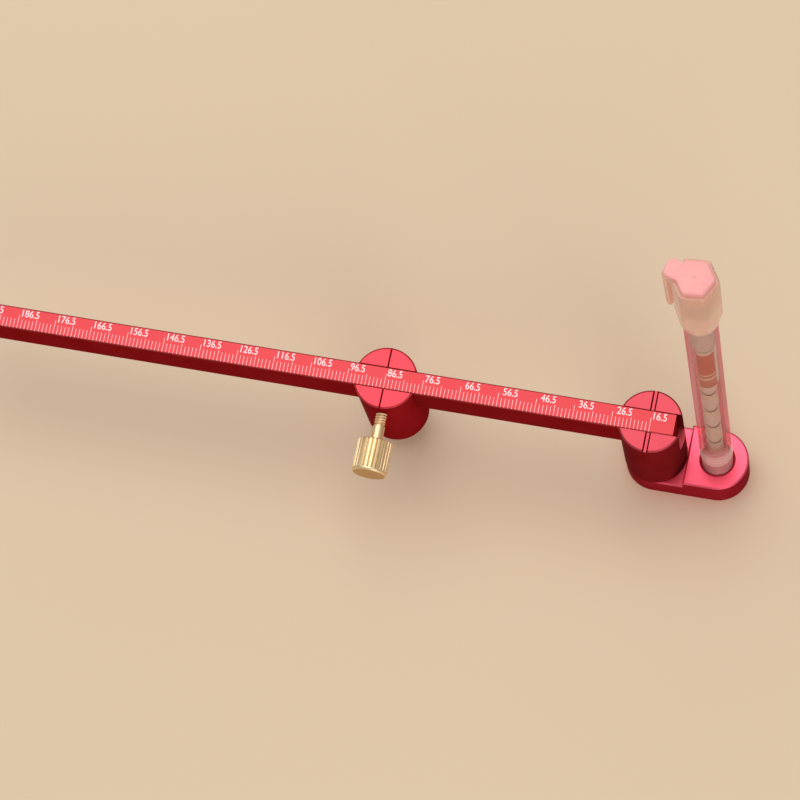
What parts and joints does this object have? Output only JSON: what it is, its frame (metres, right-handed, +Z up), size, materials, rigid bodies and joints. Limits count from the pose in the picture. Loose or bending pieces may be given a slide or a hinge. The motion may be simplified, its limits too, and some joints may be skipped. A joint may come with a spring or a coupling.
{
  "type": "scribing gauge",
  "caption": "Beam scribing gauge for drawing circles: graduated red beam, sliding drum on a centre point with brass thumb screw, and a foot that holds a refillable pencil upright.",
  "frame": {"origin": "middle of the foot's base, on the surface that is drawn on, halfway between the end drum's axis and the pencil's axis", "axes": "+X along the beam towards the pencil, -Y towards the thumb screw, +Z up"},
  "size_m": [0.2183, 0.0331, 0.154],
  "materials": {
    "anodised_red": "bright red anodised aluminium, finely blasted, white laser-marked scale",
    "steel": "plain ground steel",
    "brass": "turned brass with straight flutes",
    "nylon": "natural nylon",
    "clear_pink": "clear pink moulded plastic",
    "milky_plastic": "milky white moulded plastic",
    "pink_plastic": "opaque pink moulded plastic",
    "label_paper": "rolled coated paper, plain",
    "graphite": "dull graphite"
  },
  "bodies": {
    "gauge": {"beam": "anodised_red", "end_drum": "anodised_red", "foot": "anodised_red", "beam_screw": "steel", "drum_dowel": "steel"},
    "slider": {"slider_drum": "anodised_red", "centre_point": "steel"},
    "clamp_pad": {"clamp_pad": "nylon"},
    "clamp_screw": {"clamp_screw": "brass"},
    "pencil": {"pen_barrel": "clear_pink", "pen_label": "label_paper", "rear_bush": "milky_plastic", "lead_holder_1": "milky_plastic", "lead_holder_2": "milky_plastic", "lead_holder_3": "milky_plastic", "lead_holder_4": "milky_plastic", "lead_holder_5": "milky_plastic", "pencil_lead_1": "graphite", "pencil_lead_2": "graphite", "pencil_lead_3": "graphite", "pencil_lead_4": "graphite", "pencil_lead_5": "graphite"},
    "cap": {"pen_cap": "clear_pink", "cap_plug": "pink_plastic"}
  },
  "joints": [
    {"name": "slider_slide", "type": "slide", "parent": "gauge", "child": "slider", "axis": [-1, 0, 0], "range_m": [-0.051, 0.115]},
    {"name": "clamp_travel", "type": "slide", "parent": "slider", "child": "clamp_pad", "axis": [0, -1, 0], "range_m": [0, 0.0021]},
    {"name": "clamp_turn", "type": "hinge", "parent": "clamp_pad", "child": "clamp_screw", "pos_m": [-0.07825, -0.01, 0.02975], "axis": [0, -1, 0], "range_deg": [0, 1081]},
    {"name": "pencil_lift", "type": "slide", "parent": "gauge", "child": "pencil", "axis": [0, 0, 1], "range_m": [0, 0.15]},
    {"name": "cap_pull", "type": "slide", "parent": "pencil", "child": "cap", "axis": [0, 0, 1], "range_m": [0, 0.03]}
  ],
  "couplings": [
    {"joint": "clamp_turn", "follows": "clamp_travel", "rad_per_m": 8976}
  ]
}
